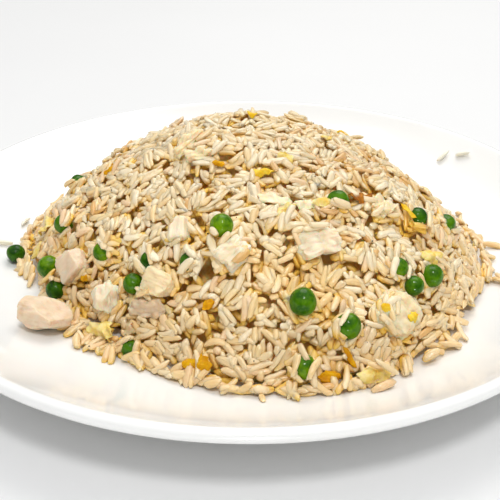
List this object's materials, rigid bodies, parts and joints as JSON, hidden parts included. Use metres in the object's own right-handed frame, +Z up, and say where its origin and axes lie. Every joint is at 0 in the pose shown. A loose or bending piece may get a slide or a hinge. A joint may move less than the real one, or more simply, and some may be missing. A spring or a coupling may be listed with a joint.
{
  "type": "plate of chicken fried rice",
  "caption": "Round white plate with a low lip, holding a heaped serving of fried rice with peas, diced chicken and scraps of egg.",
  "frame": {"origin": "on the table, under the middle of the plate, in the plane of its foot ring", "axes": "+Z up through the heap, -Y towards the diner, +X to the diner's right"},
  "size_m": [0.2698, 0.2698, 0.0644],
  "materials": {
    "porcelain": "smooth white glaze",
    "rice": "moist, slightly translucent grains with a thin film of oil",
    "pea": "moist glossy skin",
    "chicken": "cooked white meat, fibrous and moist",
    "egg": "soft cooked omelette, lightly oiled",
    "browned": "crisp browned scrap, oily",
    "onion": "translucent cooked onion"
  },
  "bodies": {
    "root": {"plate": "porcelain", "rice_heap": "rice", "pea_1": "pea", "pea_2": "pea", "pea_3": "pea", "pea_4": "pea", "pea_5": "pea", "pea_6": "pea", "pea_7": "pea", "pea_8": "pea", "pea_9": "pea", "pea_10": "pea", "pea_11": "pea", "pea_12": "pea", "pea_13": "pea", "pea_14": "pea", "pea_15": "pea", "pea_16": "pea", "pea_17": "pea", "pea_18": "pea", "pea_19": "pea", "pea_20": "pea", "pea_21": "pea", "pea_22": "pea", "pea_23": "pea", "pea_24": "pea", "pea_on_plate": "pea", "chicken_1": "chicken", "chicken_2": "chicken", "chicken_3": "chicken", "chicken_4": "chicken", "chicken_5": "chicken", "chicken_6": "chicken", "chicken_7": "chicken", "chicken_8": "chicken", "chicken_9": "chicken", "chicken_10": "chicken", "chicken_11": "chicken", "chicken_12": "chicken", "chicken_13": "chicken", "chicken_on_plate": "chicken", "egg_1": "egg", "egg_2": "egg", "egg_3": "egg", "egg_4": "egg", "egg_5": "egg", "egg_6": "egg", "egg_7": "egg", "egg_8": "egg", "egg_9": "egg", "egg_10": "egg", "egg_11": "egg", "egg_12": "egg", "browned_scrap": "browned", "onion_bit": "onion", "stray_grain_1": "rice", "stray_grain_2": "rice", "stray_grain_3": "rice", "stray_grain_4": "rice"}
  },
  "joints": []
}
